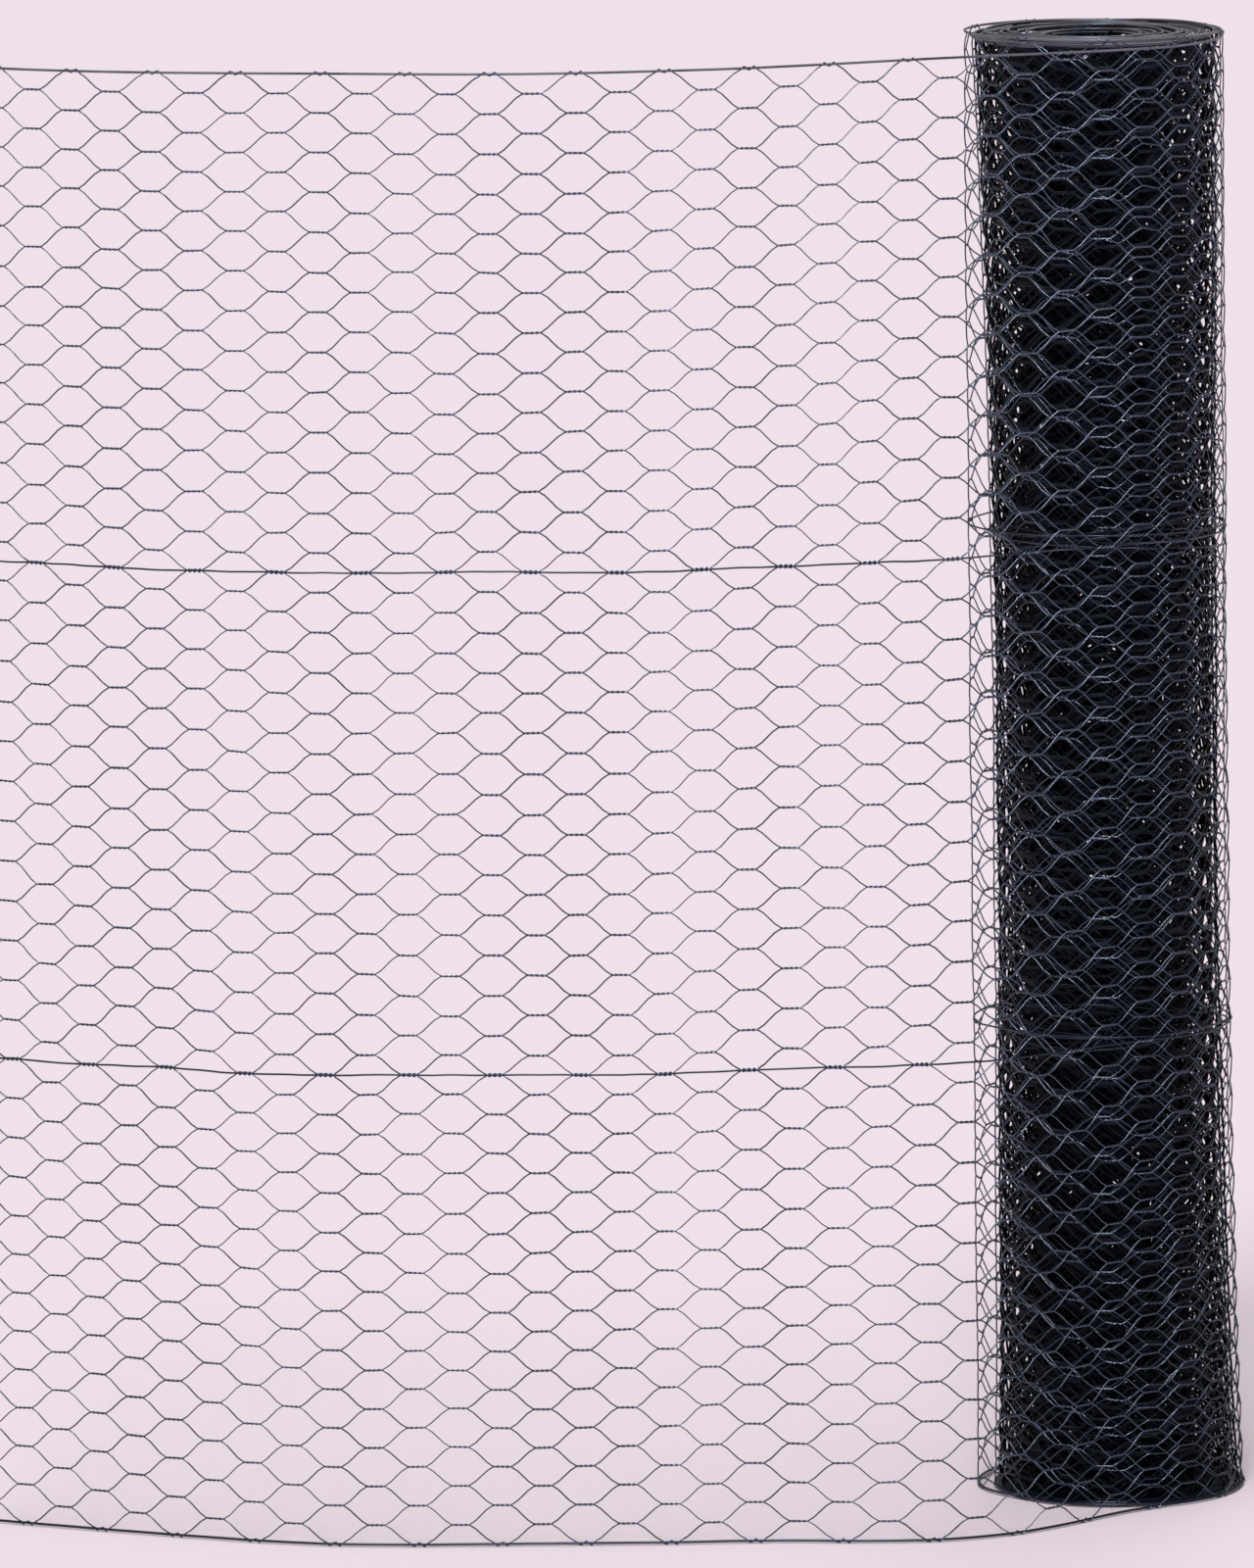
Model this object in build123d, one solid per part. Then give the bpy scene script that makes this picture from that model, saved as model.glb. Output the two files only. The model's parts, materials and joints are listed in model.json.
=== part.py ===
"""A roll of black coated chicken wire, standing on its end with its leading end unrolled.

The wound stock is one turned solid with an open bore, and its turns show as rings on both
ends. The free end leaves the front of the roll and stands on the same floor in a long
gentle curve. It is hexagonal netting, woven together with a selvage wire along each edge
and two straining wires in between, and it is divided along its length into three nodes.
Lengths are in millimetres, with the origin on the roll's axis at the floor, +Z up and the
free end running out towards -X.
"""

from build123d import *
import math
import os

# Stock
NET_WIDTH = 914.4  # 36 in, the height of the standing roll
NET_LENGTH = 7620.0  # 25 ft, wound stock and free end together
FREE_LENGTH = 775.0  # netting that has been unrolled

# Winding
BORE_RADIUS = 25.0
TURN_PITCH = 2.72  # radial build of one turn of loosely nested netting
TURN_GROOVE_DEPTH = 3.0  # between neighbouring turns, on the ends

# Mesh and wires
WIRE_DIAMETER = 0.9  # one coated strand
COLUMN_PITCH = 26.1  # from one column of twists to the next, along the netting
TWIST_LENGTH = 13.0
MESH_HEIGHT = 24.65  # from one twist to the next one up in the same column
PANEL_COUNT = 3  # strips of mesh between the selvage and straining wires
SELVAGE_WIDTH = 2.2
STRAINING_WIDTH = 1.9

# Free end in plan
TAKE_OFF_ANGLE = 30.0  # degrees to the right of the roll's front
FREE_RADIUS = 750.0  # curl that is left in the unrolled netting
SEAT_CLEARANCE = 0.3  # between the wound stock and the netting that leaves it
NODE_NAMES = ("netting_at_roll", "netting_middle", "netting_free_end")

# What follows from the sizes above
outer_radius = math.sqrt(BORE_RADIUS**2 + TURN_PITCH * (NET_LENGTH - FREE_LENGTH) / math.pi)
turn_count = max(2, round((outer_radius - BORE_RADIUS) / TURN_PITCH))
turn_width = (outer_radius - BORE_RADIUS) / turn_count

net_thickness = 2 * WIRE_DIAMETER
half_twist = net_thickness / 2
half_row_count = 2 * round((NET_WIDTH - SELVAGE_WIDTH) / MESH_HEIGHT)
half_row = (NET_WIDTH - SELVAGE_WIDTH) / half_row_count
column_count = math.floor((FREE_LENGTH - TWIST_LENGTH) / COLUMN_PITCH) + 1
node_columns = math.ceil(column_count / len(NODE_NAMES))

take_off = math.radians(TAKE_OFF_ANGLE)
curl_offset = FREE_RADIUS - (outer_radius + SEAT_CLEARANCE + half_twist)
curl_centre = Vector(-curl_offset * math.sin(take_off), curl_offset * math.cos(take_off), 0)
back_radius = FREE_RADIUS - half_twist
front_radius = FREE_RADIUS + half_twist

# A slanting strand crosses the gap between two columns in half a mesh, and its sides run
# parallel to its ridge. Shares are of the gap's width.
lean = front_radius / back_radius / half_row  # share crossed by a side for each unit of height
crotch = 1 - lean * (half_row - half_twist)  # share from a twist to where its two strands part


def row_height(row):
    """Height of the twists or the long wire that many half meshes above the bottom selvage."""
    return SELVAGE_WIDTH / 2 + row * half_row


def long_wires():
    """Half width of each selvage and straining wire, by the row that it runs along."""
    wires = {0: SELVAGE_WIDTH / 2, half_row_count: SELVAGE_WIDTH / 2}
    for panels_below in range(1, PANEL_COUNT):
        wires[half_row_count * panels_below // PANEL_COUNT] = STRAINING_WIDTH / 2
    return wires


long_wire_at = long_wires()


def has_twist(column, row):
    """Whether a column has a twist at a row. A long wire takes its own row's twists in."""
    return (row + column) % 2 == 0 and row not in long_wire_at


def wound_roll():
    """The wound stock: a bored cylinder with a ridge for each turn on both of its ends."""
    end_profile = [(BORE_RADIUS, 0.0), (BORE_RADIUS + turn_width / 2, 0.0)]
    for turn in range(1, turn_count):
        groove_radius = BORE_RADIUS + turn * turn_width
        end_profile += [(groove_radius, TURN_GROOVE_DEPTH), (groove_radius + turn_width / 2, 0.0)]
    end_profile.append((outer_radius, 0.0))
    bottom = [(radius, 0, depth) for radius, depth in end_profile]
    top = [(radius, 0, NET_WIDTH - depth) for radius, depth in reversed(end_profile)]
    half_section = make_face(Polyline(*bottom, *top, close=True))
    return revolve(half_section, Axis.Z)


def polygon(*corners):
    """A flat face through its corners, with any corner that repeats the one before left out."""
    distinct = [corner for i, corner in enumerate(corners) if (corner - corners[i - 1]).length > 1e-6]
    return Face(Wire.make_polygon(distinct, close=True))


class Strip:
    """A flat upright strip of the free end, between two arc lengths from the take-off.

    The sheet bends only where strips meet, which is at the ends of the twists.
    """

    def __init__(self, start, end):
        self.start = start
        self.end = end

    def _point(self, share, height, radius):
        start_angle = self.start / FREE_RADIUS - take_off
        end_angle = self.end / FREE_RADIUS - take_off
        near = Vector(-radius * math.sin(start_angle), -radius * math.cos(start_angle), height)
        far = Vector(-radius * math.sin(end_angle), -radius * math.cos(end_angle), height)
        return curl_centre + near + (far - near) * share

    def back(self, share, height):
        """Point on the flat back of the netting, a share of the way across the strip."""
        return self._point(share, height, back_radius)

    def front(self, share, height):
        """Point on the front of the netting, where the ridges of the bars are."""
        return self._point(share, height, front_radius)


def twist_faces(strip, height):
    """The back and the two sloping sides of a level twist."""
    low, high = height - half_twist, height + half_twist
    faces = [polygon(strip.back(0, low), strip.back(1, low), strip.back(1, high), strip.back(0, high))]
    for edge in (low, high):
        ridge = [strip.front(1, height), strip.front(0, height)]
        faces.append(polygon(strip.back(0, edge), strip.back(1, edge), *ridge))
    return faces


class Strand:
    """A slanting strand that fills one half mesh of a gap, from its foot up to the next column."""

    def __init__(self, gap, row):
        self.row = row
        self.foot_is_near = (gap + row) % 2 == 0
        self.first_rise = long_wire_at.get(row, 0)
        self.last_rise = half_row - long_wire_at.get(row + 1, 0)

    def place(self, share, rise):
        """Share of the gap from its near side, and height, of a point given from the foot."""
        return (share if self.foot_is_near else 1 - share), row_height(self.row) + rise

    def upper_side(self):
        """Lower and upper end of the side that rises from the twist at the foot."""
        rises = (max(self.first_rise, half_twist), self.last_rise)
        return [self.place(lean * (rise - half_twist), rise) for rise in rises]

    def lower_side(self):
        """Lower and upper end of the side that rises from the crotch beside the foot."""
        rises = (self.first_rise, min(self.last_rise, half_row - half_twist))
        return [self.place(crotch + lean * rise, rise) for rise in rises]

    def ridge(self):
        """Lower and upper end of the ridge."""
        return [self.place(rise / half_row, rise) for rise in (self.first_rise, self.last_rise)]

    def side_faces(self, strip):
        """The two sloping sides."""
        ridge = [strip.front(*point) for point in reversed(self.ridge())]
        return [
            polygon(*(strip.back(*point) for point in side), *ridge)
            for side in (self.upper_side(), self.lower_side())
        ]

    def outlines(self):
        """The sides as they bound the strand's back towards the near and the far column."""
        sides = (self.upper_side(), self.lower_side())
        return sides if self.foot_is_near else sides[::-1]


def strands_between(strip, gap, low_row, high_row):
    """The strands of a gap between two long wires, with one zigzag face for their backs."""
    strands = [Strand(gap, row) for row in range(low_row, high_row)]
    near = [point for strand in strands for point in strand.outlines()[0]]
    far = [point for strand in strands for point in strand.outlines()[1]]
    faces = [polygon(*(strip.back(*point) for point in near + far[::-1]))]
    for strand in strands:
        faces += strand.side_faces(strip)
    return faces


def long_wire_faces(strip, row, strand_ends):
    """The four sides of a selvage or straining wire across one strip.

    strand_ends holds, for the underside and the top, the shares at which a strand stands on
    that side: its corner nearer the start, its corner nearer the end, and its ridge.
    """
    faces = []
    back_outline, front_outline = [], []
    for side, ends in zip((-1, 1), strand_ends):
        level = row_height(row) + side * long_wire_at[row]
        starts = [strip.front(0, level), strip.back(0, level)]
        stops = [strip.back(1, level), strip.front(1, level)]
        if ends is None:
            faces.append(polygon(*starts, *stops))
            across_back, across_front = [0, 1], [0, 1]
        else:
            near, far, ridge = ends
            faces.append(polygon(*starts, strip.back(near, level), strip.front(ridge, level)))
            faces.append(polygon(strip.front(ridge, level), strip.back(far, level), *stops))
            across_back, across_front = [0, near, far, 1], [0, ridge, 1]
        back_outline += [strip.back(share, level) for share in across_back[::-side]]
        front_outline += [strip.front(share, level) for share in across_front[::-side]]
    return faces + [polygon(*back_outline), polygon(*front_outline)]


def strand_ends_on(gap, row):
    """Where the strands of a gap stand on the underside and the top of a long wire."""
    ends = []
    for strand_row, end in ((row - 1, 1), (row, 0)):
        if not 0 <= strand_row < half_row_count:
            ends.append(None)
            continue
        strand = Strand(gap, strand_row)
        corners = [side[end][0] for side in strand.outlines()]
        ends.append((*corners, strand.ridge()[end][0]))
    return ends


def cut_faces(strip, share, column):
    """The bars' sections where the sheet is cut at one end of a column's twists."""
    faces = []
    for row in range(half_row_count + 1):
        height = row_height(row)
        if row in long_wire_at:
            low, high = height - long_wire_at[row], height + long_wire_at[row]
            front = [strip.front(share, high), strip.front(share, low)]
        elif has_twist(column, row):
            low, high = height - half_twist, height + half_twist
            front = [strip.front(share, height)]
        else:
            continue
        faces.append(polygon(strip.back(share, low), strip.back(share, high), *front))
    return faces


def netting(first_column, end_column):
    """The free end from one column of twists up to another, as a single closed solid."""
    faces = []
    for column in range(first_column, end_column):
        start = column * COLUMN_PITCH
        twists = Strip(start, start + TWIST_LENGTH)
        gap = Strip(start + TWIST_LENGTH, start + COLUMN_PITCH)
        for row in range(half_row_count + 1):
            if has_twist(column, row):
                faces += twist_faces(twists, row_height(row))
        for row in long_wire_at:
            faces += long_wire_faces(twists, row, (None, None))
        if column == first_column:
            faces += cut_faces(twists, 0, column)
        if column == column_count - 1:
            faces += cut_faces(twists, 1, column)
            continue
        for row in long_wire_at:
            faces += long_wire_faces(gap, row, strand_ends_on(column, row))
        wire_rows = sorted(long_wire_at)
        for low_row, high_row in zip(wire_rows, wire_rows[1:]):
            faces += strands_between(gap, column, low_row, high_row)
        if column == end_column - 1:
            faces += cut_faces(gap, 1, column + 1)
    return Solid(Shell(faces))


parts = {"wound_roll": wound_roll()}
for order, name in enumerate(NODE_NAMES):
    first_column = order * node_columns
    parts[name] = netting(first_column, min(first_column + node_columns, column_count))

os.makedirs("parts", exist_ok=True)
for name, part in parts.items():
    part.label = name
    export_step(part, f"parts/{name}.step")
    print(name, "volume", round(part.volume), "mm3, valid", part.is_valid)
print("outer diameter", round(2 * outer_radius, 2), "turns", turn_count, "columns", column_count)
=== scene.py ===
"""Looks of a roll of black coated chicken wire that stands on end, with its leading end unrolled.

The netting is one woven sheet. It is laid out flat first, with x along the sheet from the
take-off (negative while it is still wound), y out of the sheet and z up, and then bent along
the line that the sheet follows when it is seen from above. Sizes are in metres.
"""

import json
import logging
import math
from dataclasses import dataclass
from enum import Enum
from typing import Union

import bpy
from mathutils import Matrix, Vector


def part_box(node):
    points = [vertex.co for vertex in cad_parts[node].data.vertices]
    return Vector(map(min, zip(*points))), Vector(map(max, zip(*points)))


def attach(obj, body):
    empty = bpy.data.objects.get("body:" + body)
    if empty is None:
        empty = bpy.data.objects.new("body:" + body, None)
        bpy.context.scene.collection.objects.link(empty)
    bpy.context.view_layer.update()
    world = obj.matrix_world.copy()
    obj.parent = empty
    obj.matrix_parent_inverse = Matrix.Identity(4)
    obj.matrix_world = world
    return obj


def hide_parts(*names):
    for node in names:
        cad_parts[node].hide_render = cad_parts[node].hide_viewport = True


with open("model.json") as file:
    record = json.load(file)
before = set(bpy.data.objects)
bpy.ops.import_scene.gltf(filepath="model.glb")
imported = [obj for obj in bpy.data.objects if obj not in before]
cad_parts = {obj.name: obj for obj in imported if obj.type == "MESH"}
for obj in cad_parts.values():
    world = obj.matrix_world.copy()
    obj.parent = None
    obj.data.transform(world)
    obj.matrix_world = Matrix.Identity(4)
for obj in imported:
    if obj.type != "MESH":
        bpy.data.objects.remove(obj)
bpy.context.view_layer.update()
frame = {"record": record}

logging.basicConfig(level=logging.INFO, format="%(message)s")
log = logging.getLogger("chicken_wire")

MM = 0.001
PHOTO_HEIGHT = 1600  # px, the longer side of the picture
LINE_SPACING = 5 * MM  # between two points of the free end's line
LINE_SPARE = 20 * MM  # of line past the free end, for wires that sway beyond it
HALF_STEP = 0.5  # between two whole numbers, so that rounding can't change a count
MIDDLE = 0.5  # of a share that runs from 0 to 1
MIDDLE_PEAK = 4  # share * (1 - share) times this is 1 at the middle
FREE_END_NODES = ("netting_at_roll", "netting_middle", "netting_free_end")
ROLL_NODE = "wound_roll"

Colour = tuple[float, float, float]
Point = tuple[float, float]
Number = Union["Term", float]


class Term:
    """A number in a node tree, with the arithmetic that adds Math nodes to the tree."""

    def __init__(self, graph: "Graph", socket: bpy.types.NodeSocket) -> None:
        """Wrap an output socket.

        Args:
            graph: Tree that the socket belongs to.
            socket: Output that carries the number.
        """
        self.graph = graph
        self.socket = socket

    def __add__(self, other: Number) -> "Term":
        """Sum of two numbers."""
        return self.graph.math("ADD", self, other)

    def __sub__(self, other: Number) -> "Term":
        """Difference of two numbers."""
        return self.graph.math("SUBTRACT", self, other)

    def __rsub__(self, other: Number) -> "Term":
        """Difference of a plain number and this one."""
        return self.graph.math("SUBTRACT", other, self)

    def __mul__(self, other: Number) -> "Term":
        """Product of two numbers."""
        return self.graph.math("MULTIPLY", self, other)

    def __truediv__(self, other: Number) -> "Term":
        """Quotient of two numbers."""
        return self.graph.math("DIVIDE", self, other)

    def __mod__(self, other: Number) -> "Term":
        """Remainder that is never negative."""
        return self.graph.math("FLOORED_MODULO", self, other)

    def at_least(self, low: Number) -> "Term":
        """The larger of two numbers."""
        return self.graph.math("MAXIMUM", self, low)

    def at_most(self, high: Number) -> "Term":
        """The smaller of two numbers."""
        return self.graph.math("MINIMUM", self, high)

    def floor(self) -> "Term":
        """The whole number below."""
        return self.graph.math("FLOOR", self)

    def sin(self) -> "Term":
        """Sine of an angle in radians."""
        return self.graph.math("SINE", self)

    def cos(self) -> "Term":
        """Cosine of an angle in radians."""
        return self.graph.math("COSINE", self)

    def equals(self, whole: Number) -> "Term":
        """1 where this whole number is the other one, and 0 elsewhere."""
        return self.graph.math("COMPARE", self, whole, HALF_STEP)

    def whole_times(self, size: Number) -> "Term":
        """How many whole times a size goes into this whole number."""
        return ((self + HALF_STEP) / size).floor()

    def held(self) -> "Term":
        """This number, held between 0 and 1."""
        return self.at_least(0.0).at_most(1.0)

    def pick(self, values: list[float]) -> "Term":
        """The value in a list whose place, counted from 0, is this whole number."""
        chosen = [self.equals(float(place)) * value for place, value in enumerate(values)]
        return sum(chosen[1:], chosen[0])

    def eased(self) -> "Term":
        """A share from 0 to 1 with soft ends."""
        return self * self * (3.0 - self * 2.0)


class Graph:
    """A Geometry Nodes tree that is written as expressions."""

    def __init__(self, name: str) -> None:
        """Start a tree that takes a geometry and gives one.

        Args:
            name: Name of the tree.
        """
        self.tree = bpy.data.node_groups.new(name, "GeometryNodeTree")
        self.tree.interface.new_socket("Geometry", in_out="INPUT", socket_type="NodeSocketGeometry")
        self.tree.interface.new_socket("Geometry", in_out="OUTPUT", socket_type="NodeSocketGeometry")
        self.entry = self.tree.nodes.new("NodeGroupInput")
        self.exit = self.tree.nodes.new("NodeGroupOutput")

    def size(self, name: str) -> Term:
        """Add a named input to the tree, for which every piece gives its own value."""
        self.tree.interface.new_socket(name, in_out="INPUT", socket_type="NodeSocketFloat")
        return Term(self, self.entry.outputs[name])

    def add(self, kind: str, inputs: dict[Union[str, int], object], **settings: object) -> bpy.types.Node:
        """Add a node.

        Args:
            kind: Blender's name of the node's type.
            inputs: Values, numbers or sockets for the node's inputs, by name or index.
            settings: Options of the node itself.

        Returns:
            The new node.
        """
        node = self.tree.nodes.new(kind)
        for name, value in settings.items():
            setattr(node, name, value)
        for name, value in inputs.items():
            if isinstance(value, Term):
                value = value.socket
            if isinstance(value, bpy.types.NodeSocket):
                self.tree.links.new(value, node.inputs[name])
            else:
                node.inputs[name].default_value = value
        return node

    def math(self, operation: str, *values: Number) -> Term:
        """Add a Math node.

        Args:
            operation: Blender's name of the operation.
            values: The numbers that it works on.

        Returns:
            Its result.
        """
        node = self.add("ShaderNodeMath", dict(enumerate(values)), operation=operation)
        return Term(self, node.outputs[0])

    def vector(self, x: Number, y: Number, z: Number) -> bpy.types.NodeSocket:
        """Join three numbers into a vector."""
        return self.add("ShaderNodeCombineXYZ", {"X": x, "Y": y, "Z": z}).outputs[0]

    def split(self, vector: bpy.types.NodeSocket) -> list[Term]:
        """The three numbers of a vector."""
        return [Term(self, part) for part in self.add("ShaderNodeSeparateXYZ", {0: vector}).outputs]

    def index(self) -> Term:
        """Number of each point, counted from 0."""
        return Term(self, self.add("GeometryNodeInputIndex", {}).outputs[0])

    def curves(
        self, count: Term, place: bpy.types.NodeSocket, number: Term, order: Term
    ) -> bpy.types.NodeSocket:
        """Lay points out and join them into curves.

        Args:
            count: Number of points in all.
            place: Place of each point.
            number: Number of the curve that a point belongs to.
            order: Place of the point along its curve.

        Returns:
            The curves.
        """
        points = self.add("GeometryNodePoints", {"Count": count, "Position": place, "Radius": 1.0})
        group = {"Points": points.outputs[0], "Curve Group ID": number, "Weight": order}
        return self.add("GeometryNodePointsToCurves", group).outputs[0]

    def tubes(
        self, curves: bpy.types.NodeSocket, girth: Number, scale: Number = 1.0
    ) -> bpy.types.NodeSocket:
        """Give curves a body, whose number of sides is an input of the tree.

        Args:
            curves: The curves.
            girth: Radius of their section.
            scale: What the radius is multiplied with on each curve.

        Returns:
            The tubes, closed at both ends.
        """
        profile = self.add("GeometryNodeCurvePrimitiveCircle", {"Radius": girth})
        self.tree.links.new(self.size("Sides").socket, profile.inputs["Resolution"])
        parts = {"Curve": curves, "Profile Curve": profile.outputs[0], "Scale": scale, "Fill Caps": True}
        return self.add("GeometryNodeCurveToMesh", parts).outputs[0]

    def finish(self, mesh: bpy.types.NodeSocket, material: bpy.types.Material) -> None:
        """Realize what was made, give it its material and end the tree.

        Args:
            mesh: The finished geometry.
            material: Material of every face.
        """
        smooth = self.add("GeometryNodeSetShadeSmooth", {"Geometry": mesh, "Shade Smooth": True})
        whole = self.add("GeometryNodeRealizeInstances", {"Geometry": smooth.outputs[0]})
        dressed = self.add("GeometryNodeSetMaterial", {"Geometry": whole.outputs[0], "Material": material})
        self.tree.links.new(dressed.outputs[0], self.exit.inputs[0])

    def make(self, name: str, line: list[Point], sizes: dict[str, float]) -> bpy.types.Object:
        """Run the tree along a line and keep the result as a plain mesh.

        Args:
            name: Name of the piece.
            line: Points of the line in the ground plane, which the tree gets as its geometry.
            sizes: Values for the tree's named inputs.

        Returns:
            The finished piece, with no modifier left on it.
        """
        mesh = bpy.data.meshes.new(f"{name}_line")
        edges = [(i, i + 1) for i in range(len(line) - 1)]
        mesh.from_pydata([(x, y, 0.0) for x, y in line], edges, [])
        piece = bpy.data.objects.new(name, mesh)
        bpy.context.scene.collection.objects.link(piece)
        modifier = piece.modifiers.new("shape", "NODES")
        modifier.node_group = self.tree
        for socket in self.tree.interface.items_tree:
            if socket.name in sizes and socket.in_out == "INPUT":
                modifier[socket.identifier] = float(sizes[socket.name])
        evaluated = piece.evaluated_get(bpy.context.evaluated_depsgraph_get())
        result = bpy.data.meshes.new_from_object(evaluated)
        piece.modifiers.remove(modifier)
        piece.data = result
        result.name = name
        bpy.data.meshes.remove(mesh)
        return piece


@dataclass(frozen=True)
class CoatedWireFinish:
    """Black polymer coating on steel wire: satin, a little bluish, uneven in tone and gloss, and lighter
    towards the top through painted light from above.

    Args:
        name: Name of the material.
        dark: Colour where the coating is thick.
        worn_and_top_lit: Colour where it is rubbed thin or dusty, and where the painted light from above
            lifts it.
        smooth: Roughness of the glossiest places.
        dull: Roughness of the dullest places.
        patch: Size of the patches.
        painted_top_light: Painted light from above: how much lighter the tone is for each metre further up.
        even_height: Height at which the painted light from above adds nothing to the patches.
        sheen_tint: Colour of the reflection.
        gloss: Strength of the reflection.
        ior: Index of refraction, set above a plain polymer's where the wires shine more.
        detail: Fineness of the patches' edges.
        tone_range: Value of the patches plus the painted light from above at which the tone is all dark, and
            at which it is all the lighter colour.
        polish_range: Values of the patches at which the coating is glossiest and dullest.
    """

    name: str
    dark: Colour
    worn_and_top_lit: Colour
    smooth: float
    dull: float
    patch: float = 20 * MM
    painted_top_light: float = 0.4
    even_height: float = 450 * MM
    sheen_tint: Colour = (0.62, 0.76, 1.0)
    gloss: float = 0.7
    ior: float = 1.5
    detail: float = 3.0
    tone_range: tuple[float, float] = (0.38, 0.72)
    polish_range: tuple[float, float] = (0.3, 0.7)

    def material(self) -> bpy.types.Material:
        """Build the material.

        Returns:
            A material whose tone and gloss change slowly along the wires, with painted light from above
            making the tone lighter higher up.
        """
        material = bpy.data.materials.new(self.name)
        material.use_nodes = True
        nodes, links = material.node_tree.nodes, material.node_tree.links
        shader = nodes["Principled BSDF"]
        shader.inputs["Specular Tint"].default_value = (*self.sheen_tint, 1.0)
        shader.inputs["Specular IOR Level"].default_value = self.gloss
        shader.inputs["IOR"].default_value = self.ior
        place = nodes.new("ShaderNodeTexCoord")
        patches = nodes.new("ShaderNodeTexNoise")
        patches.inputs["Scale"].default_value = 1.0 / self.patch
        patches.inputs["Detail"].default_value = self.detail
        links.new(place.outputs["Object"], patches.inputs["Vector"])
        # Painted light from above: the tone is made lighter in proportion to the height over even_height,
        # standing in for a lamp close over the roll.
        axes = nodes.new("ShaderNodeSeparateXYZ")
        links.new(place.outputs["Object"], axes.inputs["Vector"])
        painted_lift = nodes.new("ShaderNodeMath")
        painted_lift.operation = "MULTIPLY_ADD"
        painted_lift.inputs[1].default_value = self.painted_top_light
        painted_lift.inputs[2].default_value = -self.painted_top_light * self.even_height
        links.new(axes.outputs["Z"], painted_lift.inputs[0])
        wear_and_top_light = nodes.new("ShaderNodeMath")
        links.new(patches.outputs["Fac"], wear_and_top_light.inputs[0])
        links.new(painted_lift.outputs["Value"], wear_and_top_light.inputs[1])
        tone = nodes.new("ShaderNodeValToRGB")
        tone.color_ramp.elements[0].position = self.tone_range[0]
        tone.color_ramp.elements[0].color = (*self.dark, 1.0)
        tone.color_ramp.elements[1].position = self.tone_range[1]
        tone.color_ramp.elements[1].color = (*self.worn_and_top_lit, 1.0)
        links.new(wear_and_top_light.outputs["Value"], tone.inputs["Fac"])
        links.new(tone.outputs["Color"], shader.inputs["Base Color"])
        polish = nodes.new("ShaderNodeMapRange")
        polish.inputs["From Min"].default_value = self.polish_range[0]
        polish.inputs["From Max"].default_value = self.polish_range[1]
        polish.inputs["To Min"].default_value = self.smooth
        polish.inputs["To Max"].default_value = self.dull
        links.new(patches.outputs["Fac"], polish.inputs["Value"])
        links.new(polish.outputs["Result"], shader.inputs["Roughness"])
        return material


@dataclass(frozen=True)
class PaperFinish:
    """Matt studio paper under the object.

    Args:
        colour: Its colour.
        roughness: Its roughness.
        gloss: Strength of the reflection.
    """

    colour: Colour = (0.818, 0.708, 0.772)
    roughness: float = 0.95
    gloss: float = 0.1

    def material(self) -> bpy.types.Material:
        """Build the material."""
        material = bpy.data.materials.new("studio_paper")
        material.use_nodes = True
        shader = material.node_tree.nodes["Principled BSDF"]
        shader.inputs["Base Color"].default_value = (*self.colour, 1.0)
        shader.inputs["Roughness"].default_value = self.roughness
        shader.inputs["Specular IOR Level"].default_value = self.gloss
        return material


@dataclass(frozen=True)
class Net:
    """The netting as it lies flat. Rows are half meshes, counted up from the bottom selvage.

    Args:
        width: Width over the selvages, which is the height of the standing roll.
        column_pitch: From one column of twists to the next.
        first_twists: From the take-off to the first twists of the free end.
        twist_length: Length of a twist along the netting.
        twist_turns: Turns that two wires make round each other in a twist.
        half_rows: Half meshes between the selvages.
        straining_rows: Rows that a straining wire runs along.
        wire_radius: Radius of a strand over its coating.
        selvage_radius: Radius of the wire that each edge is wrapped round.
        straining_radius: Radius of a straining wire.
        roundness: How far a mesh is from straight sides, from 0 to 1.
    """

    width: float
    column_pitch: float = 26.1 * MM
    first_twists: float = 13.2 * MM
    twist_length: float = 12.2 * MM
    twist_turns: float = 2.0
    half_rows: int = 74
    straining_rows: tuple[int, int] = (24, 49)
    wire_radius: float = 0.44 * MM
    selvage_radius: float = 0.85 * MM
    straining_radius: float = 0.62 * MM
    roundness: float = 0.5

    @property
    def first_row_height(self) -> float:
        """Height of the bottom selvage wire, whose wrappings rest on the floor."""
        return self.selvage_radius + 2 * self.wire_radius

    @property
    def half_row(self) -> float:
        """Height of half a mesh."""
        return (self.width - 2 * self.first_row_height) / self.half_rows

    @property
    def slant_length(self) -> float:
        """Length along the netting between the twists of two columns."""
        return self.column_pitch - self.twist_length

    def row_height(self, row: int) -> float:
        """Height of a row above the floor."""
        return self.first_row_height + row * self.half_row

    def long_wires(self) -> dict[int, float]:
        """Radius of each selvage and straining wire, by its row."""
        wires = {0: self.selvage_radius, self.half_rows: self.selvage_radius}
        return wires | {row: self.straining_radius for row in self.straining_rows}


@dataclass(frozen=True)
class StrandDetail:
    """How closely a strand is followed, and how wide it is drawn.

    Args:
        twist_points: Steps along a twist.
        slant_points: Steps along a slant.
        sides: Sides of the strand.
        widening: How many times wider than a real one it is drawn. It stands for the crushed
            meshes of the inner turns, which lie closer than even ones.
    """

    twist_points: int
    slant_points: int
    sides: int
    widening: float = 1.0

    @property
    def fullness(self) -> float:
        """Radius of a flat-sided strand, as a multiple of the round strand that it stands for."""
        return self.widening * math.pi / (self.sides * math.sin(math.pi / self.sides))


class Closeness(Enum):
    """How closely the strands are followed in each part of the netting."""

    IN_VIEW = StrandDetail(twist_points=9, slant_points=4, sides=4)
    OUTER_TURNS = StrandDetail(twist_points=6, slant_points=3, sides=3)
    INNER_TURNS = StrandDetail(twist_points=1, slant_points=2, sides=3, widening=1.75)
    CORE_TURNS = StrandDetail(twist_points=1, slant_points=2, sides=3, widening=3.0)


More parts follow.
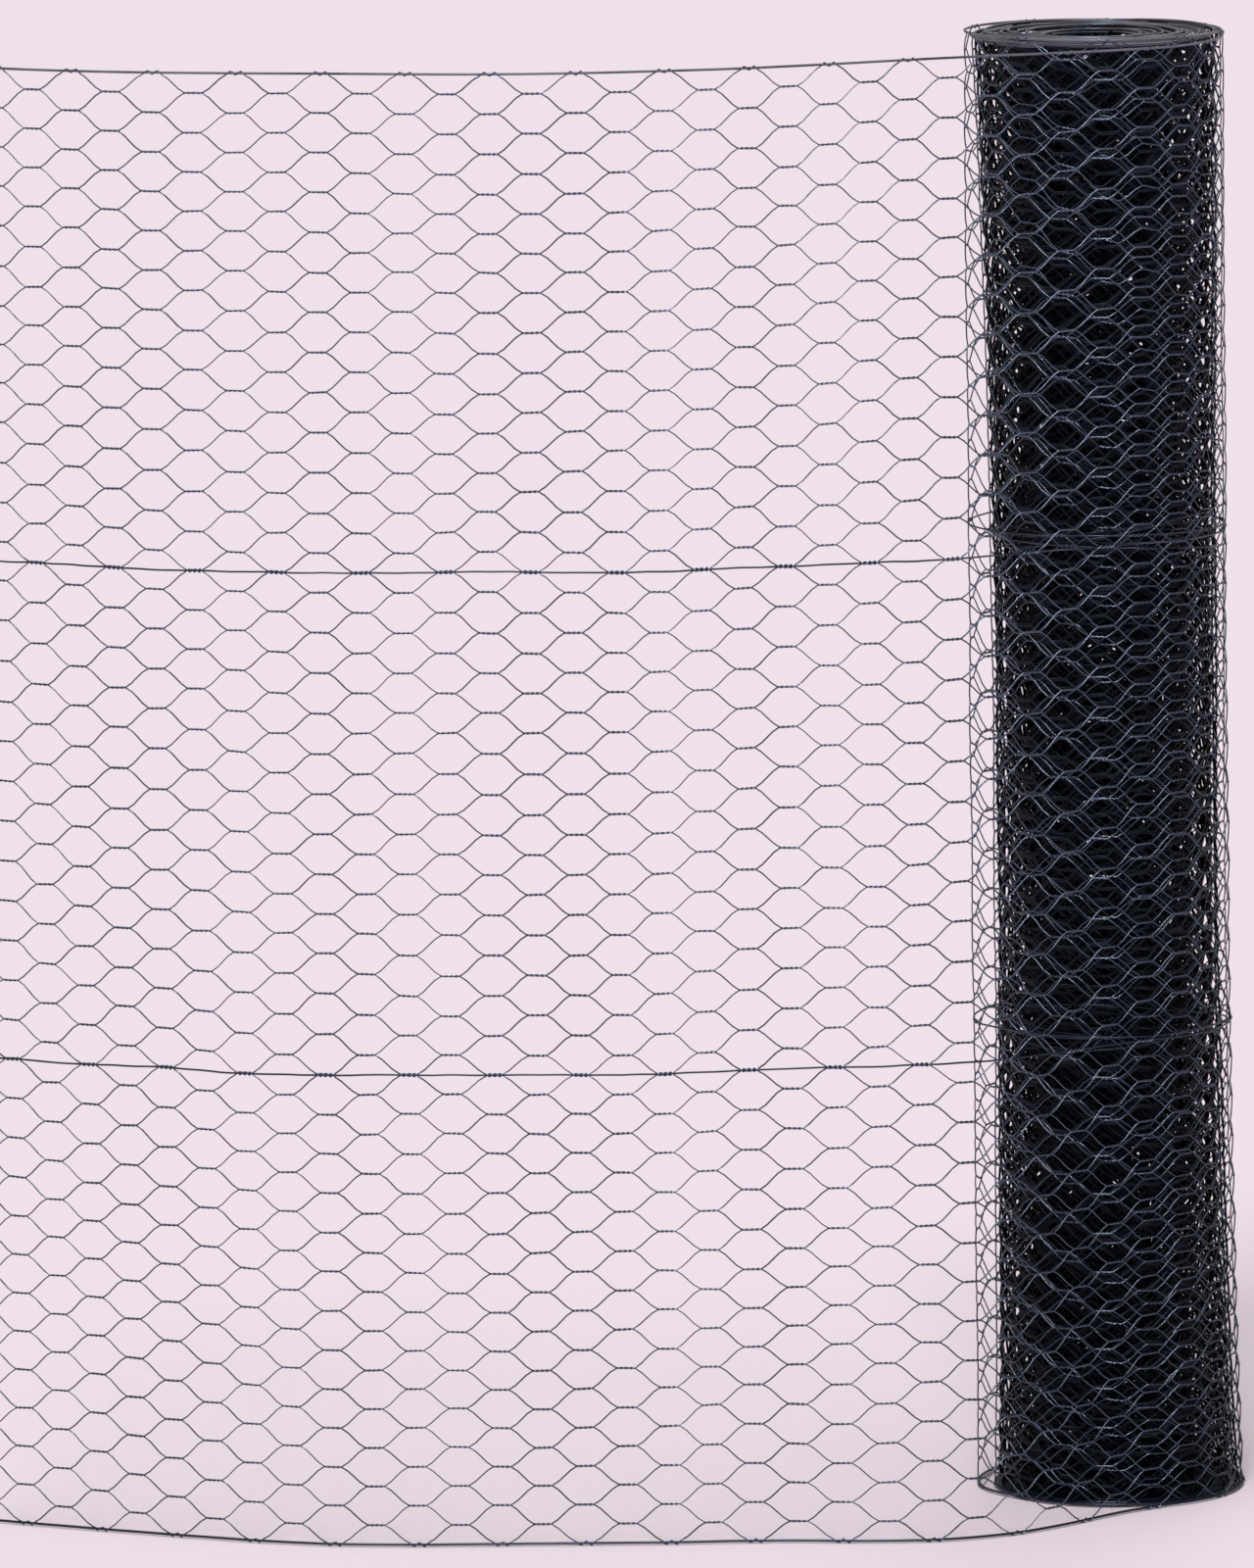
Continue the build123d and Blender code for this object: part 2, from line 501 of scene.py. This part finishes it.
@dataclass(frozen=True)
class Sway:
    """Small unevenness of the sheet, from how it was woven, wound and pulled out.

    Args:
        broad: Wavelength of the slow changes.
        fine: Wavelength of the bends in single wires.
        drift: Wavelength of the drift of the inner turns' rows.
        broad_shift: How far the slow changes move a wire within the sheet.
        fine_shift: How far the bends move it.
        out_shift: How far the slow changes move it out of the sheet.
        turn_shift: How far the rows of the inner turns drift up and down.
        edge_shift: How far the upper edges of the inner turns stand up or down.
        loose_rise: How far the loose turn's upper edge stands up on the left of the roll.
        body_rise: How far the upper edges of the body's turns stand up on the whole.
        lift: How far the middle of the sheet is drawn upwards.
        crowding: How far the rows are drawn away from mid height.
        slip: How far the upper edge has been pulled out less than the lower part.
        head_spread: How far the body fills the loose turn on the left at the top.
        foot_spread: How far the roll's right side stands out at the floor.
        foot_height: Height that the foot's spread reaches up to.
        row_freedom: How soon the rows are free to move, away from the selvages that hold them.
        inner_start: How far back from the take-off the inner turns' own unevenness starts.
        growth: Gain of the wound turns' unevenness for each metre along the sheet, which is
            below zero because it grows inwards.
        drift_height: How quickly the drift changes with height, against along the sheet.
        drift_seed: Step in the noise to the drift's own place.
        seed: Place in the noise, which is the same in every run.
    """

    broad: float = 90 * MM
    fine: float = 17 * MM
    drift: float = 180 * MM
    broad_shift: float = 3.0 * MM
    fine_shift: float = 1.1 * MM
    out_shift: float = 2.2 * MM
    turn_shift: float = 56 * MM
    edge_shift: float = 10 * MM
    loose_rise: float = 5 * MM
    body_rise: float = 2 * MM
    lift: float = 0.9 * MM
    crowding: float = 1.9 * MM
    slip: float = 7 * MM
    head_spread: float = 8 * MM
    foot_spread: float = 7 * MM
    foot_height: float = 420 * MM
    row_freedom: float = 12.0
    inner_start: float = 480 * MM
    growth: float = -3.0
    drift_height: float = 0.5
    drift_seed: float = 5.0
    seed: float = 3.7


@dataclass(frozen=True)
class Bow:
    """A stretch of the free end where its lower edge stands out further than its upper edge.

    Args:
        start: Arc length from the take-off where the bow starts.
        reach: Length of the bow.
        lean: How much further out the lower edge stands at its middle.
        out: How far its middle height stands out.
    """

    start: float
    reach: float
    lean: float
    out: float = 0.0


@dataclass(frozen=True)
class WindingLine:
    """The line that the netting follows, seen from above, from the core to the free end.

    Args:
        roll_radius: Radius over the loose last turn.
        bore_radius: Radius of the open bore.
        take_off: Angle to the right of the roll's front at which the free end leaves.
        free_radius: Radius of the curl that is left in the free end.
        free_length: Length of the free end.
        wound_length: Length of the netting that is wound.
        seat: From the roll's radius to the middle of the sheet at the take-off.
        settle_angle: Angle back from the take-off over which the loose turn comes in.
        settle_depth: How far it comes in over that angle.
        further_angle: Angle behind that over which it comes in a little further.
        further_depth: How far it comes in there.
        body_radius: Radius of the wound body inside the loose last turn.
        tight_radius: Radius inside which the turns are tight.
        loose_pitch: From turn to turn in the body's outer layers.
        body_shift: How far the body lies to the right within the loose turn.
        waist: How far the body is drawn in at mid height.
        leaves_body: Direction from the roll's axis in which the loose turn leaves the body.
        joins_body: Direction in which the next turn in has joined the body.
        step: Angle from one point of the line to the next.
        sway: Unevenness of the sheet.
        bows: Stretches of the free end that lean.
    """

    roll_radius: float
    bore_radius: float
    take_off: float = math.radians(30)
    free_radius: float = 750 * MM
    free_length: float = 775 * MM
    wound_length: float = 6845 * MM
    seat: float = 1.2 * MM
    settle_angle: float = math.radians(70)
    settle_depth: float = 2.1 * MM
    further_angle: float = math.radians(90)
    further_depth: float = 0.3 * MM
    body_radius: float = 75 * MM
    tight_radius: float = 60 * MM
    loose_pitch: float = 2.0 * MM
    body_shift: float = 4.6 * MM
    waist: float = 3 * MM
    leaves_body: float = math.radians(181)
    joins_body: float = math.radians(229)
    step: float = math.radians(4)
    sway: Sway = Sway()
    bows: tuple[Bow, ...] = ()

    def loose_point(self, unwound: float) -> Point:
        """Point of the loose last turn.

        Args:
            unwound: Angle back from the take-off, in the direction of winding.

        Returns:
            Its place in the ground plane.
        """
        settled = eased(unwound / self.settle_angle)
        further = eased((unwound - self.settle_angle) / self.further_angle)
        radius = self.roll_radius + self.seat - self.settle_depth * settled - self.further_depth * further
        return polar(radius, self.bearing(unwound))

    def body_point(self, radius: float, unwound: float) -> Point:
        """Point of the wound body, whose turns lie further to the right the wider they are.

        Args:
            radius: Radius of the turn there.
            unwound: Angle back from the take-off.

        Returns:
            Its place in the ground plane.
        """
        share = (radius - self.bore_radius) / (self.tight_radius - self.bore_radius)
        x, y = polar(radius, self.bearing(unwound))
        return x + self.body_shift * min(share, 1.0), y

    def bearing(self, unwound: float) -> float:
        """Direction from the roll's axis, counter-clockwise from +X."""
        return self.take_off - math.pi / 2 + unwound

    def points(self) -> list[Point]:
        """Points of the line from the core outwards and along the free end.

        Returns:
            Places in the ground plane, a few millimetres apart.
        """
        inward = []
        unwound, radius = 0.0, self.body_radius
        # The loose last turn, as far as the place where it has joined the body.
        while self.bearing(unwound) < self.joins_body:
            share = eased((self.bearing(unwound) - self.leaves_body) / (self.joins_body - self.leaves_body))
            inward.append(mixed(self.loose_point(unwound), self.body_point(radius, unwound), share))
            unwound += self.step
        # The body's outer layers.
        while radius > self.tight_radius:
            inward.append(self.body_point(radius, unwound))
            unwound += self.step
            radius -= self.loose_pitch * self.step / math.tau
        # The tight turns, whose pitch uses up the rest of the netting.
        core_radius = self.bore_radius + self.seat
        rest = self.wound_length - length_of(inward)
        tight_pitch = math.pi * (radius**2 - core_radius**2) / rest
        while radius > core_radius:
            inward.append(self.body_point(radius, unwound))
            unwound += self.step
            radius -= tight_pitch * self.step / math.tau
        return inward[::-1] + self.free_points()

    def free_points(self) -> list[Point]:
        """Points of the free end, on an arc that is tangent to the roll at the take-off."""
        offset = self.free_radius - self.roll_radius - self.seat
        centre_x, centre_y = -offset * math.sin(self.take_off), offset * math.cos(self.take_off)
        arc = []
        for i in range(self.free_steps):
            angle = self.take_off - math.pi / 2 - (i + 1) * LINE_SPACING / self.free_radius
            x, y = polar(self.free_radius, angle)
            arc.append((centre_x + x, centre_y + y))
        return arc

    @property
    def free_steps(self) -> int:
        """Steps of the line along the free end."""
        return math.ceil((self.free_length + LINE_SPARE) / LINE_SPACING)

    def start(self) -> float:
        """Arc length from the take-off to the core end, which is negative."""
        return self.free_steps * LINE_SPACING - length_of(self.points())

    def wrap(self, graph: Graph, mesh: bpy.types.NodeSocket, width: float) -> bpy.types.NodeSocket:
        """Bend a flat sheet along the line that the tree gets as its geometry.

        Args:
            graph: Tree to add the nodes to.
            mesh: The flat sheet.
            width: Width of the netting.

        Returns:
            The bent sheet.
        """
        sway = self.sway
        place = graph.add("GeometryNodeInputPosition", {}).outputs[0]
        along, out, height = graph.split(place)
        seed = graph.size("Seed")
        broad = self.noise(graph, (along, height, seed), sway.broad)
        fine = self.noise(graph, (along, height, seed), sway.fine)
        drift_place = (along, height * sway.drift_height, seed + sway.drift_seed)
        drift = self.noise(graph, drift_place, sway.drift)
        # The share of the height, and the same for the upper half alone.
        share = height / width
        upper = (share * 2.0 - 1.0).at_least(0.0)
        # How free a row is to move, how deep it is in the body, and how deep in the roll at all.
        hold = (share * (1.0 - share) * sway.row_freedom).held()
        inner = ((along + sway.inner_start) * sway.growth).held()
        loose = (along * sway.growth).held()
        swayed_along = (
            along + broad[0] * sway.broad_shift + fine[0] * sway.fine_shift - upper * upper * sway.slip
        )
        swayed_out = out + broad[1] * sway.out_shift
        swayed_out = swayed_out - inner * share * (1.0 - share) * (MIDDLE_PEAK * self.waist)
        for bow in self.bows:
            turn = ((along - bow.start) / bow.reach).held() * math.pi
            swayed_out = swayed_out + turn.sin() * turn.sin() * ((MIDDLE - share) * bow.lean + bow.out)
        swayed_height = (
            height
            + (broad[2] * sway.broad_shift + fine[2] * sway.fine_shift) * hold
            + drift[2] * inner * hold * sway.turn_shift
            + drift[0] * inner * share * sway.edge_shift
            + loose * share * sway.loose_rise
            + inner * share * (sway.body_rise - sway.loose_rise)
            + (share * math.pi).sin() * sway.lift
            - (share * math.tau).sin() * sway.crowding
        )
        # Each point goes to its place along the line, and then out across the line.
        line = graph.add("GeometryNodeMeshToCurve", {"Mesh": graph.entry.outputs["Geometry"]})
        from_core = swayed_along - graph.size("Line start")
        sample = graph.add(
            "GeometryNodeSampleCurve", {"Curves": line.outputs[0], "Length": from_core}, mode="LENGTH"
        )
        x, y, _ = graph.split(sample.outputs["Position"])
        ahead_x, ahead_y, _ = graph.split(sample.outputs["Tangent"])
        # The foot stands out on the roll's right, and the body fills the loose turn on its left.
        foot = (1.0 - height / sway.foot_height).at_least(0.0)
        right = (x / self.roll_radius).held()
        left = (x / -self.roll_radius).held()
        x = x + foot * foot * right * sway.foot_spread
        x = x - inner * upper * upper * left * sway.head_spread
        bent = graph.vector(x - ahead_y * swayed_out, y + ahead_x * swayed_out, swayed_height)
        return graph.add("GeometryNodeSetPosition", {"Geometry": mesh, "Position": bent}).outputs[0]

    @staticmethod
    def noise(graph: Graph, place: tuple[Term, Term, Term], wavelength: float) -> list[Term]:
        """Three smooth numbers about zero that change over a wavelength.

        Args:
            graph: Tree to add the nodes to.
            place: Where in the noise to look.
            wavelength: Distance over which it changes.

        Returns:
            The numbers, mostly between -0.4 and 0.4.
        """
        spot = graph.vector(place[0], place[1], place[2])
        texture = graph.add("ShaderNodeTexNoise", {"Vector": spot, "Scale": 1.0 / wavelength, "Detail": 0.0})
        return [part - MIDDLE for part in graph.split(texture.outputs["Color"])]


def eased(share: float) -> float:
    """A share held between 0 and 1, with soft ends."""
    held = min(max(share, 0.0), 1.0)
    return held * held * (3 - 2 * held)


def polar(radius: float, angle: float) -> Point:
    """Point at a distance and an angle from the origin."""
    return radius * math.cos(angle), radius * math.sin(angle)


def mixed(a: Point, b: Point, share: float) -> Point:
    """Point a share of the way from one point to another."""
    return a[0] + (b[0] - a[0]) * share, a[1] + (b[1] - a[1]) * share


def turned(degrees: float, axis: str) -> Matrix:
    """Turn about an axis through the origin, as a matrix of four rows."""
    return Matrix.Rotation(math.radians(degrees), 4, axis)


def length_of(line: list[Point]) -> float:
    """Length of a line through points."""
    return sum(math.dist(a, b) for a, b in zip(line, line[1:]))


class StrandTree:
    """Geometry Nodes tree of the woven strands.

    Between two rows runs one strand. It is twisted with the strand below in one column, slants
    across to the row above, is twisted with the strand above in the next column, and so on.
    """

    def __init__(self, net: Net, line: WindingLine, material: bpy.types.Material) -> None:
        """Build the tree.

        Args:
            net: Sizes of the netting.
            line: Line that it follows.
            material: Finish of the strands.
        """
        self.net = net
        self.line = line
        self.graph = graph = Graph("woven_strands")
        self.wire_radius = graph.size("Wire radius")
        self.half_row = graph.size("Half row")
        tubes = graph.tubes(self.strands(), graph.size("Profile radius"))
        graph.finish(line.wrap(graph, tubes, net.width), material)

    def reach(self, row: Term) -> Term:
        """Distance from a row's middle to the strands that are twisted along it.

        Args:
            row: The row.

        Returns:
            A wire's radius, with the long wire's radius added where the row has one.
        """
        distance = self.wire_radius
        for long_row, radius in self.net.long_wires().items():
            distance = distance + row.equals(float(long_row)) * radius
        return distance

    def strands(self) -> bpy.types.NodeSocket:
        """Add the nodes that lay every strand out flat.

        Returns:
            The strands as curves.
        """
        graph, net = self.graph, self.net
        per_strand = graph.size("Points in a strand")
        twist_points = graph.size("Twist points")
        slant_points = graph.size("Slant points")
        per_column = twist_points + slant_points
        # Which strand a point is in, which column, and which step within the column.
        index = graph.index()
        strand = index.whole_times(per_strand)
        order = index - strand * per_strand
        columns_in = order.whole_times(per_column)
        step = order - columns_in * per_column
        column = columns_in + graph.size("First column")
        # The first steps go along the twist and the others across to the next row.
        twisted = (step / twist_points).at_most(1.0)
        crossed = (step - twist_points).at_least(0.0) / slant_points
        # In every other column the strand lies under the row above it, and else over the row below.
        is_above = (column + strand) % 2.0
        side = 1.0 - is_above * 2.0
        row = strand + is_above
        next_row = strand + (1.0 - is_above)
        turn = twisted * (math.tau * net.twist_turns)
        reach, next_reach = self.reach(row), self.reach(next_row)
        rounded = crossed.eased() * net.roundness + crossed * (1.0 - net.roundness)
        near = side * reach * turn.cos()
        far = side * self.half_row - side * next_reach
        height = row * self.half_row + net.first_row_height + near * (1.0 - rounded) + far * rounded
        along = column * net.column_pitch + net.first_twists
        along = along + twisted * net.twist_length + crossed * net.slant_length
        out = side * reach * turn.sin()
        count = per_strand * float(net.half_rows)
        return graph.curves(count, graph.vector(along, out, height), strand, order)

    def make(self, name: str, columns: range, closeness: Closeness, is_last: bool) -> bpy.types.Object:
        """Make a length of netting.

        Args:
            name: Name of the piece.
            columns: Its columns of twists, counted from the take-off.
            closeness: How closely the strands are followed.
            is_last: Whether the netting ends with these columns' twists.

        Returns:
            The piece.
        """
        detail = closeness.value
        per_strand = len(columns) * (detail.twist_points + detail.slant_points) + 1
        if is_last:
            per_strand -= detail.slant_points
        sizes = {
            "Wire radius": self.net.wire_radius,
            "Profile radius": self.net.wire_radius * detail.fullness,
            "Half row": self.net.half_row,
            "Points in a strand": per_strand,
            "Sides": detail.sides,
            "Twist points": detail.twist_points,
            "Slant points": detail.slant_points,
            "First column": columns.start,
            "Seed": self.line.sway.seed,
            "Line start": self.line.start(),
        }
        return self.graph.make(name, self.line.points(), sizes)


class LongWireTree:
    """Geometry Nodes tree of the selvage and straining wires."""

    def __init__(self, net: Net, line: WindingLine, material: bpy.types.Material) -> None:
        """Build the tree.

        Args:
            net: Sizes of the netting.
            line: Line that it follows.
            material: Finish of the wires.
        """
        self.line = line
        self.graph = graph = Graph("long_wires")
        per_wire = graph.size("Points in a wire")
        wires = net.long_wires()
        index = graph.index()
        wire = index.whole_times(per_wire)
        order = index - wire * per_wire
        along = graph.size("Start") + order * graph.size("Spacing")
        height = wire.pick([net.row_height(row) for row in wires])
        place = graph.vector(along, 0.0, height)
        curves = graph.curves(per_wire * float(len(wires)), place, wire, order)
        tubes = graph.tubes(curves, 1.0, scale=wire.pick(list(wires.values())))
        graph.finish(line.wrap(graph, tubes, net.width), material)

    def make(self, name: str, start: float, end: float, spacing: float, sides: int) -> bpy.types.Object:
        """Make the four long wires over a length of the netting.

        Args:
            name: Name of the piece.
            start: Where they start, from the take-off.
            end: Where they end.
            spacing: Wanted distance between two points of a wire.
            sides: Sides of a wire.

        Returns:
            The piece.
        """
        steps = max(1, round((end - start) / spacing))
        sizes = {
            "Points in a wire": steps + 1,
            "Spacing": (end - start) / steps,
            "Start": start,
            "Sides": sides,
            "Seed": self.line.sway.seed,
            "Line start": self.line.start(),
        }
        return self.graph.make(name, self.line.points(), sizes)


def keep(piece: bpy.types.Object, *nodes: str) -> None:
    """Attach a finished piece to the root body, hide the CAD nodes that it stands for, and log its
    triangles.

    Args:
        piece: The piece.
        nodes: CAD nodes that it stands for.
    """
    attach(piece, "root")
    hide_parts(*nodes)
    triangles = sum(len(polygon.vertices) - 2 for polygon in piece.data.polygons)
    log.info("%s: %d triangles", piece.name, triangles)


@dataclass
class FreeEnd:
    """The unrolled leading end: three lengths of netting and the long wires in them.

    Args:
        net: Sizes of the netting.
        strands: Tree of the strands.
        wires: Tree of the long wires.
        columns: Columns of twists in the free end.
        wire_spacing: Wanted distance between two points of a long wire.
        wire_sides: Sides of a long wire.
    """

    net: Net
    strands: StrandTree
    wires: LongWireTree
    columns: int = 30
    wire_spacing: float = 6.4 * MM
    wire_sides: int = 6

    def build(self) -> None:
        """Make the free end's pieces."""
        share = self.columns // len(FREE_END_NODES)
        for order, node in enumerate(FREE_END_NODES):
            columns = range(order * share, (order + 1) * share)
            is_last = columns.stop == self.columns
            piece = self.strands.make(f"woven_{node}", columns, Closeness.IN_VIEW, is_last)
            keep(piece, node)
        end = self.net.first_twists + (self.columns - 1) * self.net.column_pitch + self.net.twist_length
        piece = self.wires.make("free_end_long_wires", 0.0, end, self.wire_spacing, self.wire_sides)
        keep(piece, *FREE_END_NODES)


@dataclass
class WoundRoll:
    """The wound stock: turn on turn of netting round an open bore.

    Args:
        net: Sizes of the netting.
        strands: Tree of the strands that show.
        shaded_inner_strands: Tree of the strands inside them, whose darker, duller finish is painted shade
            from the outer turns.
        wires: Tree of the long wires.
        outer_columns: Columns of twists in the turns that show.
        outer_pieces: Lengths that they are divided into.
        inner_pieces: Lengths that the inner turns are divided into.
        wire_spacing: Wanted distance between two points of a long wire.
        wire_sides: Sides of a long wire.
    """

    net: Net
    strands: StrandTree
    shaded_inner_strands: StrandTree
    wires: LongWireTree
    outer_columns: int = 40
    outer_pieces: int = 2
    inner_pieces: int = 3
    wire_spacing: float = 6.5 * MM
    wire_sides: int = 5

    def build(self) -> None:
        """Make the roll's pieces."""
        wound = math.floor(self.strands.line.wound_length / self.net.column_pitch)
        per_piece = self.outer_columns // self.outer_pieces
        for order in range(self.outer_pieces):
            first = (order - self.outer_pieces) * per_piece
            columns = range(first, first + per_piece)
            piece = self.strands.make(f"outer_turns_{order + 1}", columns, Closeness.OUTER_TURNS, False)
            keep(piece, ROLL_NODE)
        inner = wound - self.outer_columns
        bounds = [inner * i // self.inner_pieces - wound for i in range(self.inner_pieces + 1)]
        for order, (first, end) in enumerate(zip(bounds, bounds[1:])):
            columns = range(first, end)
            closeness = Closeness.INNER_TURNS if order else Closeness.CORE_TURNS
            # The inner turns take the darker copy of the finish, which paints the shade that the outer turns
            # cast on them.
            piece = self.shaded_inner_strands.make(f"inner_turns_{order + 1}", columns, closeness, False)
            keep(piece, ROLL_NODE)
        start = -wound * self.net.column_pitch
        piece = self.wires.make("wound_long_wires", start, 0.0, self.wire_spacing, self.wire_sides)
        keep(piece, ROLL_NODE)


@dataclass(frozen=True)
class SoftLamp:
    """A broad distant lamp.

    Args:
        name: Name of the lamp.
        azimuth: Direction that it stands in, in degrees counter-clockwise from +X.
        elevation: Height above the horizon in degrees.
        strength: Strength of its light.
        spread: Width of the lamp as an angle in degrees.
    """

    name: str
    azimuth: float
    elevation: float
    strength: float
    spread: float

    def build(self) -> None:
        """Add the lamp."""
        lamp = bpy.data.lights.new(self.name, "SUN")
        lamp.energy = self.strength
        lamp.angle = math.radians(self.spread)
        holder = bpy.data.objects.new(self.name, lamp)
        holder.matrix_world = turned(self.azimuth + 90, "Z") @ turned(90 - self.elevation, "X")
        bpy.context.scene.collection.objects.link(holder)


@dataclass(frozen=True)
class Studio:
    """Floor, lamps, room light and the camera.

    Args:
        paper: Finish of the floor.
        floor_size: Width of the floor.
        room_light: Strength of the even light from all round.
        room_colour: Colour of that light.
        distance: From the camera to the roll's axis, along Y.
        camera_x: Place of the camera along X.
        camera_height: Height of the camera above the floor.
        pitch: How far it looks down, in degrees.
        roll: How far it is turned about its line of sight, in degrees.
        focal_pixels: Focal length in pixels of the picture.
        sensor_width: Width of its sensor in millimetres.
        sight: How far it sees.
        lamps: The lamps.
    """

    paper: PaperFinish = PaperFinish()
    floor_size: float = 120.0
    room_light: float = 0.27
    room_colour: Colour = (1.0, 1.0, 1.0)
    distance: float = 8.0
    camera_x: float = -0.2945
    camera_height: float = 1.7035
    pitch: float = 8.91
    roll: float = -0.81
    focal_pixels: float = 13246.0
    sensor_width: float = 36.0
    sight: float = 200.0
    lamps: tuple[SoftLamp, ...] = (
        SoftLamp("key_lamp", azimuth=262.0, elevation=52.0, strength=1.75, spread=18.0),
        SoftLamp("top_lamp", azimuth=240.0, elevation=80.0, strength=0.9, spread=30.0),
        SoftLamp("back_lamp", azimuth=75.0, elevation=40.0, strength=0.4, spread=30.0),
    )

    def build(self) -> None:
        """Set the studio up."""
        self.add_floor()
        self.add_room_light()
        for lamp in self.lamps:
            lamp.build()
        self.add_camera()
        bpy.context.scene.view_settings.view_transform = "Standard"

    def add_floor(self) -> None:
        """Lay the floor."""
        half = self.floor_size / 2
        mesh = bpy.data.meshes.new("floor")
        corners = [(-half, -half, 0.0), (half, -half, 0.0), (half, half, 0.0), (-half, half, 0.0)]
        mesh.from_pydata(corners, [], [(0, 1, 2, 3)])
        mesh.materials.append(self.paper.material())
        floor = bpy.data.objects.new("floor", mesh)
        bpy.context.scene.collection.objects.link(floor)

    def add_room_light(self) -> None:
        """Light the room evenly from all round."""
        world = bpy.data.worlds.new("room")
        world.use_nodes = True
        background = world.node_tree.nodes["Background"]
        background.inputs["Color"].default_value = (*self.room_colour, 1.0)
        background.inputs["Strength"].default_value = self.room_light
        bpy.context.scene.world = world

    def add_camera(self) -> None:
        """Place the camera."""
        lens = bpy.data.cameras.new("camera")
        lens.sensor_width = self.sensor_width
        lens.lens = self.focal_pixels / PHOTO_HEIGHT * lens.sensor_width
        lens.clip_end = self.sight
        camera = bpy.data.objects.new("camera", lens)
        place = Matrix.Translation((self.camera_x, -self.distance, self.camera_height))
        camera.matrix_world = place @ turned(90 - self.pitch, "X") @ turned(self.roll, "Z")
        bpy.context.scene.collection.objects.link(camera)
        bpy.context.scene.camera = camera


def main() -> None:
    """Build the netting, dress it and set up the studio."""
    roll_low, roll_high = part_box(ROLL_NODE)
    bore = next(mount for mount in frame["record"]["mounts"] if mount["name"] == "bore")
    net = Net(width=roll_high[2] - roll_low[2])
    bows = (
        Bow(start=0.0, reach=300 * MM, lean=46 * MM, out=9 * MM),
        Bow(start=250 * MM, reach=310 * MM, lean=-14 * MM),
        Bow(start=520 * MM, reach=380 * MM, lean=-16 * MM),
    )
    line = WindingLine(roll_radius=roll_high[0], bore_radius=bore["dims"]["r_mm"] * MM, bows=bows)
    # The strands take the default painted light from above, which makes the roll's upper turns lighter.
    strand_coat = CoatedWireFinish(
        name="coated_strand",
        dark=(0.0015, 0.003, 0.008),
        worn_and_top_lit=(0.023, 0.029, 0.047),
        smooth=0.17,
        dull=0.32,
        gloss=0.8,
        ior=1.9,
    )
    # A darker, duller copy of the strands' finish: painted shade on the inner turns, which the outer turns
    # shade.
    shaded_inner_coat = CoatedWireFinish(
        name="painted_shade_inner_strand",
        dark=(0.0008, 0.0012, 0.003),
        worn_and_top_lit=(0.009, 0.011, 0.018),
        smooth=0.4,
        dull=0.55,
        gloss=0.3,
    )
    # The long wires' pale tone and strong painted light from above paint a sheen on the roll's upper ring of
    # selvage wires.
    long_wire_coat = CoatedWireFinish(
        name="coated_long_wire",
        dark=(0.003, 0.005, 0.011),
        worn_and_top_lit=(0.13, 0.125, 0.145),
        smooth=0.22,
        dull=0.4,
        patch=30 * MM,
        painted_top_light=0.95,
        even_height=745 * MM,
    )
    strands = StrandTree(net, line, strand_coat.material())
    shaded_inner_strands = StrandTree(net, line, shaded_inner_coat.material())
    wires = LongWireTree(net, line, long_wire_coat.material())
    FreeEnd(net, strands, wires).build()
    WoundRoll(net, strands, shaded_inner_strands, wires).build()
    Studio().build()


if __name__ == "__main__":
    main()
